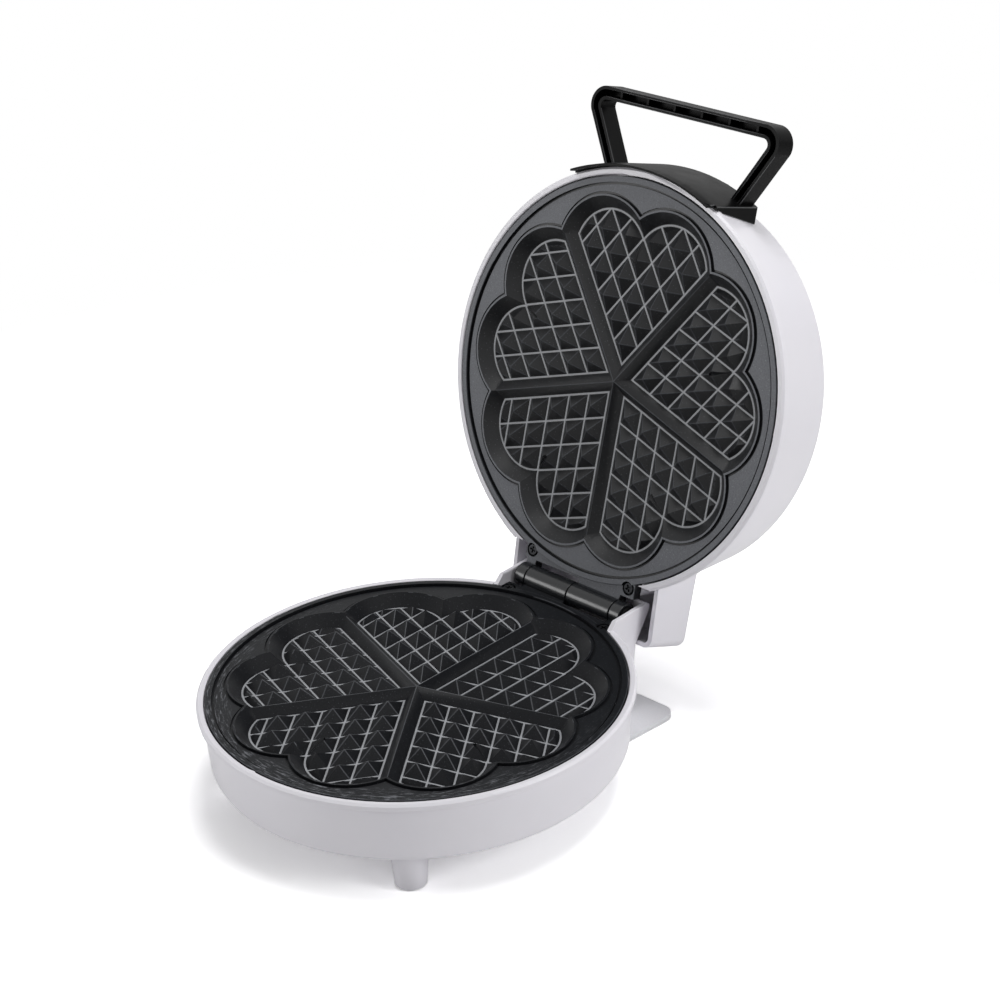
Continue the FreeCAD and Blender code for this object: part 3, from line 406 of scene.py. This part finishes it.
# rolled sheet: light, with soft streaks
sheetAluminium = makeMetal("rolledAluminiumSheet", "#B9BABD", "#D2D3D5", (0.25, 0.38), 1.5)
# tinned can: light and smooth
fuseCan = makeMetal("tinnedFuseCan", "#ADADAB", "#C4C4C2", (0.2, 0.3), 0.8)
# clear tinted plastic and thin glass: saturated, with sharp glints
redLens = makeLens("redPolycarbonate", "#C41E12")
greenLens = makeLens("greenPolycarbonate", "#2F9A3A")
lampGlass = makeLens("neonLampGlass", "#E5CDB8")
print("materials made")


# cooking plates, in mm in the plate's own frame and degrees; barrelReach is measured from the hinge axis
plate = {"edge": 0.33, "knuckleEdge": 0.6, "knuckleSegments": 3, "smooth": 35,
         "grooveWide": 1.2, "grooveDeep": 0.7, "fieldLevel": -1.3, "fieldRadius": 94.1,
         "floorLevel": -6, "floorShade": 0.22, "barrelReach": 7.4}
# how faces are told apart: the least upward part of a level face's normal, then play in height and radius, in mm
tolerance = {"fieldUp": 0.99, "levelUp": 0.97, "fieldLevel": 0.05, "aboveField": 0.1, "floorLevel": 0.1,
             "radius": 0.2}
# the edge and floor slots hold painted highlights on both plates, and the flat slot holds painted light on the lid
layer = {"wall": 0, "edge": 1, "flat": 2, "floor": 3, "barrel": 4}  # material slots of a plate


def cutGrooves(piece, place):
    # the flat field gets a groove along all its borders: inside the bead ring and round the hearts
    back = place.inverted()
    turn = back.to_3x3()

    def isField(face):
        corners = (back @ piece.data.vertices[i].co for i in face.vertices)
        return ((turn @ face.normal).z > tolerance["fieldUp"]
                and abs((back @ face.center).z / mm - plate["fieldLevel"]) < tolerance["fieldLevel"]
                and all(corner.xy.length / mm < plate["fieldRadius"] + tolerance["radius"] for corner in corners))

    pickFaces(piece, isField)
    bpy.ops.mesh.inset(thickness=plate["grooveWide"] * mm, depth=0, use_boundary=True, use_even_offset=True)
    bpy.ops.object.mode_set(mode="OBJECT")
    inside = {face.index for face in piece.data.polygons if face.select}
    pickFaces(piece, lambda face: face.index not in inside and isField(face))
    down = (place.to_3x3() @ Vector((0, 0, -1))).normalized() * plate["grooveDeep"] * mm
    bpy.ops.mesh.extrude_region_move(TRANSFORM_OT_translate={"value": tuple(down)})
    bpy.ops.object.mode_set(mode="OBJECT")


def shadeFloors(piece, place):
    # the valleys between the studs keep a margin of the dark coat along the feet of the walls, a painted shade in
    # the crease, and are painted light grey along their middle, a painted highlight
    back = place.inverted()
    turn = back.to_3x3()
    addSlots(piece, layer["floor"] + 1)
    pickFaces(piece, lambda face: (turn @ face.normal).z > tolerance["levelUp"]
              and abs((back @ face.center).z / mm - plate["floorLevel"]) < tolerance["floorLevel"])
    bpy.ops.mesh.inset(thickness=plate["floorShade"] * mm, depth=0, use_boundary=True, use_even_offset=True)
    bpy.ops.object.mode_set(mode="OBJECT")
    for face in piece.data.polygons:
        face.material_index = layer["floor"] if face.select else layer["wall"]


def makePlate(nodeName, place, wallCoat, flatCoat):
    def isNotBarrel(point):
        return (point - hinge).yz.length > plate["barrelReach"] * mm

    piece = mergedCopy(nodeName, nodeName + "_cast")
    cutGrooves(piece, place)
    shadeFloors(piece, place)
    roundEdges(piece, plate["knuckleEdge"], plate["knuckleSegments"], leave=isNotBarrel)
    roundEdges(piece, plate["edge"], slotIndex=layer["edge"])
    smoothPiece(piece, plate["smooth"])
    edgeFaces = facesWith(piece, layer["edge"])
    floorFaces = facesWith(piece, layer["floor"])
    finishPiece(piece, nodeName, [wallCoat, coatEdgePaintedHighlight, flatCoat, coatFloorPaintedLight, castSmooth])
    back = place.inverted()
    turn = back.to_3x3()
    for face in piece.data.polygons:
        isLevel = (turn @ face.normal).z > tolerance["levelUp"]
        if (face.center - hinge).yz.length / mm < plate["barrelReach"]:
            name = "barrel"
        elif face.index in edgeFaces:
            name = "edge"
        elif isLevel and (back @ face.center).z / mm > plate["fieldLevel"] - tolerance["aboveField"]:
            name = "flat"
        elif face.index in floorFaces:
            name = "floor"
        else:
            name = "wall"
        face.material_index = layer[name]


makePlate("lower_plate", basePlace, coatDull, coatFlatUsed)
makePlate("upper_plate", lidPlace, coatDark, coatFlatPaintedLight)
print("plates made")


# casings, in mm in their plate's frame: the room inside and the lid's lowest round edge keep their shape
casing = {"edge": 0.8, "segments": 3, "fineEdge": 0.3, "roomRadius": 96.8, "roomTop": -0.6,
          "baseRoom": -29.4, "lidRoom": -41.3, "lidEdgeLevel": -38, "lidEdgeRadius": 80,
          "beadEdge": 1.6, "beadSegments": 4, "beadRoom": 1.1, "beadRadius": 101, "beadTolerance": 0.15,
          "beadFoot": -4.4}


def makeCasing(nodeName, place, roomDepth):
    back = place.inverted()

    def isLeft(point):
        local = back @ point / mm
        inside = local.xy.length < casing["roomRadius"] and roomDepth < local.z < casing["roomTop"]
        return inside or (nodeName == "lid_housing" and local.z < casing["lidEdgeLevel"]
                          and local.xy.length > casing["lidEdgeRadius"])

    def isNotBead(point):
        local = back @ point / mm
        return abs(local.xy.length - casing["beadRadius"]) > casing["beadTolerance"] or local.z < casing["beadFoot"]

    piece = mergedCopy(nodeName, nodeName + "_shell", radialCuts(place, (0, 90)))
    if nodeName == "base_housing":  # the base has a full round bead, the lid a slight one
        roundEdges(piece, casing["beadEdge"], casing["beadSegments"], isNotBead, faceRoom=casing["beadRoom"])
    roundEdges(piece, casing["edge"], casing["segments"], isLeft)
    roundEdges(piece, casing["fineEdge"], leave=isLeft)
    smoothPiece(piece)
    finishPiece(piece, nodeName, [whiteAbs])


makeCasing("base_housing", basePlace, casing["baseRoom"])
makeCasing("lid_housing", lidPlace, casing["lidRoom"])
print("casings made")


# handle, in mm: the cuts keep the narrow faces of the curved saddle short; its edges use the second slot, a painted
# highlight
handle = {"edge": 0.4, "cuts": (-36, -24, -12, 0, 12, 24, 36), "edgeSlot": 1}


def makeHandle():
    piece = mergedCopy("handle", "handle_grip", [((x * mm, 0, 0), (1, 0, 0)) for x in handle["cuts"]])
    roundEdges(piece, handle["edge"], slotIndex=handle["edgeSlot"])
    smoothPiece(piece)
    edgeFaces = facesWith(piece, handle["edgeSlot"])
    finishPiece(piece, "handle", [blackNylon, blackNylonPaintedHighlight])
    for face in piece.data.polygons:
        face.material_index = handle["edgeSlot"] if face.index in edgeFaces else 0


makeHandle()
print("handle made")


# small moulded and pressed pieces: edge in mm, finish, slot and the end of the piece's name
stand = {"edge": 0.5, "finish": greyAbs, "slot": "grey_plastic", "ending": "_moulded"}
foot = {"edge": 0.5, "finish": whiteAbs, "slot": "white_plastic", "ending": "_moulded"}
hingeCap = {"edge": 0.4, "finish": blackNylon, "slot": "black_plastic", "ending": "_pressed"}
gland = {"edge": 0.4, "finish": blackNylon, "slot": "black_plastic", "ending": "_moulded"}
powerLens = {"edge": 0.6, "finish": redLens, "slot": "red_lens", "ending": "_domed"}
readyLens = {"edge": 0.6, "finish": greenLens, "slot": "green_lens", "ending": "_domed"}

for nodeName, values in (
        ("rear_stand", stand), ("front_foot_left", foot), ("front_foot_right", foot),
        ("hinge_cap_left", hingeCap), ("hinge_cap_right", hingeCap), ("cord_gland", gland),
        ("power_lamp_lens", powerLens), ("ready_lamp_lens", readyLens)):
    piece = mergedCopy(nodeName, nodeName + values["ending"])
    roundEdges(piece, values["edge"], segments=3)
    smoothPiece(piece)
    finishPiece(piece, nodeName, [values["finish"]])
print("stand, feet, caps and lenses made")


# cross recess of a screw's head, in mm, and how far each screw of a pair happens to be turned, in degrees
cross = {"reach": 3.4, "width": 0.8, "depth": 1.0, "edge": 0.12, "turns": (25, -10)}


def makeCrossHeads(nodeName, place, upwards, material):
    # one cross is made, moved to the middle of each head and cut out of it
    piece = mergedCopy(nodeName, nodeName + "_cross")
    back = place.inverted()
    ends = []
    for side in (-1, 1):
        local = [back @ v.co for v in piece.data.vertices if (back @ v.co).x * side > 0]
        low = Vector(min(p[i] for p in local) for i in range(3))
        high = Vector(max(p[i] for p in local) for i in range(3))
        middle = (low + high) / 2
        ends.append(place @ Vector((middle.x, middle.y, high.z if upwards else low.z)))
    bpy.ops.mesh.primitive_cube_add(size=1)
    cutter = bpy.context.active_object
    # half of the cutter stands out of the head
    cutter.scale = (cross["reach"] * mm, cross["width"] * mm, 2 * cross["depth"] * mm)
    bpy.ops.object.transform_apply(location=False, rotation=False, scale=True)
    bpy.ops.object.mode_set(mode="EDIT")
    bpy.ops.mesh.select_all(action="SELECT")
    bpy.ops.mesh.duplicate()
    bpy.ops.transform.rotate(value=math.pi / 2, orient_axis="Z", center_override=(0, 0, 0))
    bpy.ops.object.mode_set(mode="OBJECT")
    for turn, end in zip(cross["turns"], ends):
        spin = Matrix.Rotation(math.radians(turn), 4, "Z")
        cutter.matrix_world = Matrix.Translation(end) @ place.to_3x3().to_4x4() @ spin
        makeActive(piece)
        recess = piece.modifiers.new("recess", "BOOLEAN")
        recess.operation = "DIFFERENCE"
        recess.solver = "EXACT"
        recess.use_self = True
        recess.object = cutter
        bpy.ops.object.modifier_apply(modifier="recess")
    makeActive(cutter)
    bpy.ops.object.delete()
    roundEdges(piece, cross["edge"])
    smoothPiece(piece)
    finishPiece(piece, nodeName, [material])


makeCrossHeads("lower_plate_screws", basePlace, True, blackSteel)
makeCrossHeads("upper_plate_screws", lidPlace, True, blackSteel)
makeCrossHeads("stand_screws", basePlace, False, zincSteel)
print("screws made")


# the CAD pieces whose shape is fine enough only get their finish
finishes = {
    "hinge_pin": brightSteel, "foot_screws": zincSteel, "handle_screws": zincSteel,
    "lower_reflector_screw": zincSteel, "upper_reflector_screw": zincSteel,
    "front_pad_left": blackRubber, "front_pad_right": blackRubber,
    "rear_pad_left": blackRubber, "rear_pad_right": blackRubber,
    "lower_element": heaterTube, "upper_element": heaterTube,
    "lower_reflector": sheetAluminium, "upper_reflector": sheetAluminium,
    "thermostat": ceramicBody, "thermal_fuse": fuseCan, "lid_fuse": fuseCan,
    "fuse_clip": sheetAluminium, "lid_fuse_clip": sheetAluminium, "terminal_block": nylonTerminal,
    "power_lamp": lampGlass, "ready_lamp": lampGlass}
for nodeName, material in finishes.items():
    setMaterials(nodes[nodeName], [material])
print("small pieces dressed")


# the floor is plain paper round the object and white further out, in metres from the middle
floor = {"size": 30, "colour": "#F4F4F4", "fadeStart": 0.28, "fadeEnd": 0.62}


def makeFloor():
    bpy.ops.mesh.primitive_plane_add(size=floor["size"], location=(0, 0, 0))
    sheet = bpy.context.active_object
    sheet.name = "studioFloor"
    # matt white paper: it shows the shadow, is lifted to white for the eye only, and has no end further out
    material, tree = newMaterial("paperFloor")
    path = addNode(tree, "ShaderNodeLightPath")
    place = addNode(tree, "ShaderNodeTexCoord").outputs["Object"]
    far = addNode(tree, "ShaderNodeVectorMath", {"operation": "LENGTH"}, {0: place})
    fade = addNode(tree, "ShaderNodeMapRange", {"From Min": floor["fadeStart"], "From Max": floor["fadeEnd"]},
                   {"Value": far.outputs["Value"]})
    matt = addNode(tree, "ShaderNodeBsdfDiffuse", {"Color": srgb(floor["colour"])})
    more = addNode(tree, "ShaderNodeBsdfDiffuse", {}, {"Color": path.outputs["Is Camera Ray"]})
    lit = addNode(tree, "ShaderNodeAddShader", {}, {0: matt.outputs["BSDF"], 1: more.outputs["BSDF"]})
    white = addNode(tree, "ShaderNodeEmission", {"Color": (1, 1, 1, 1), "Strength": 1.0})
    seen = addNode(tree, "ShaderNodeMath", {"operation": "MULTIPLY"},
                   {0: path.outputs["Is Camera Ray"], 1: fade.outputs["Result"]})
    mix = addNode(tree, "ShaderNodeMixShader", {},
                  {0: seen.outputs["Value"], 1: lit.outputs["Shader"], 2: white.outputs["Emission"]})
    addNode(tree, "ShaderNodeOutputMaterial", {}, {"Surface": mix.outputs["Shader"]})
    sheet.data.materials.append(material)


# strengths of the white world: as light, and as what the eye, the lenses and the glossy faces see
studio = {"softLight": 0.24, "background": 1.0}


def makeWorld():
    world = bpy.data.worlds.new("studioWorld")
    bpy.context.scene.world = world
    world.use_nodes = True
    tree = world.node_tree
    tree.nodes.clear()
    path = addNode(tree, "ShaderNodeLightPath")
    soft = addNode(tree, "ShaderNodeBackground", {"Color": (1, 1, 1, 1), "Strength": studio["softLight"]})
    seen = addNode(tree, "ShaderNodeBackground", {"Color": (1, 1, 1, 1), "Strength": studio["background"]})
    clear = addNode(tree, "ShaderNodeMath", {"operation": "MAXIMUM"},
                    {0: path.outputs["Is Camera Ray"], 1: path.outputs["Is Transmission Ray"]})
    shown = addNode(tree, "ShaderNodeMath", {"operation": "MAXIMUM"},
                    {0: clear.outputs["Value"], 1: path.outputs["Is Glossy Ray"]})
    mix = addNode(tree, "ShaderNodeMixShader", {},
                  {0: shown.outputs["Value"], 1: soft.outputs["Background"], 2: seen.outputs["Background"]})
    addNode(tree, "ShaderNodeOutputWorld", {}, {"Surface": mix.outputs["Shader"]})


# soft round lamps: place and aim in metres, size across in metres, power in watts
lamps = {"topLamp": {"place": (0.1, 0.25, 1.7), "aim": (0, 0, 0.1), "size": 0.9, "power": 13},
         "rightLamp": {"place": (1.5, 0.5, 0.8), "aim": (0, 0, 0.12), "size": 0.8, "power": 10.5},
         "leftLamp": {"place": (-0.95, -1.15, 0.45), "aim": (0, 0, 0.08), "size": 0.6, "power": 5.5}}


def addLamp(name, values):
    bpy.ops.object.light_add(type="AREA", location=values["place"])
    lamp = bpy.context.active_object
    lamp.name = name
    lamp.data.shape = "DISK"
    lamp.data.size = values["size"]
    lamp.data.energy = values["power"]
    lamp.rotation_euler = (Vector(values["aim"]) - Vector(values["place"])).to_track_quat("-Z", "Y").to_euler()


# angles in degrees, lens in mm, far end in metres; plateSeen is the lower plate's centre in the camera's axes, in mm
camera = {"azimuth": 45.3, "elevation": 26.83, "roll": -2.985, "lens": 91.93, "farEnd": 60,
          "plateSeen": (-38.26, -83.44, -1169.6)}


def makeCamera():
    turn, rise, roll = (math.radians(camera[k]) for k in ("azimuth", "elevation", "roll"))
    back = Vector((math.cos(rise) * math.sin(turn), -math.cos(rise) * math.cos(turn), math.sin(rise)))
    right = Vector((0, 0, 1)).cross(back).normalized()
    up = back.cross(right)
    right, up = right * math.cos(roll) + up * math.sin(roll), up * math.cos(roll) - right * math.sin(roll)
    axes = Matrix((right, up, back)).transposed()
    plateSeen = Vector(part * mm for part in camera["plateSeen"])
    bpy.ops.object.camera_add(location=baseCentre - axes @ plateSeen)
    eye = bpy.context.active_object
    eye.name = "studioCamera"
    eye.rotation_euler = axes.to_euler()
    eye.data.lens = camera["lens"]
    eye.data.clip_end = camera["farEnd"]
    bpy.context.scene.camera = eye


makeFloor()
makeWorld()
for name, values in lamps.items():
    addLamp(name, values)
makeCamera()
bpy.context.scene.view_settings.view_transform = "Standard"
print("floor, light and camera made")
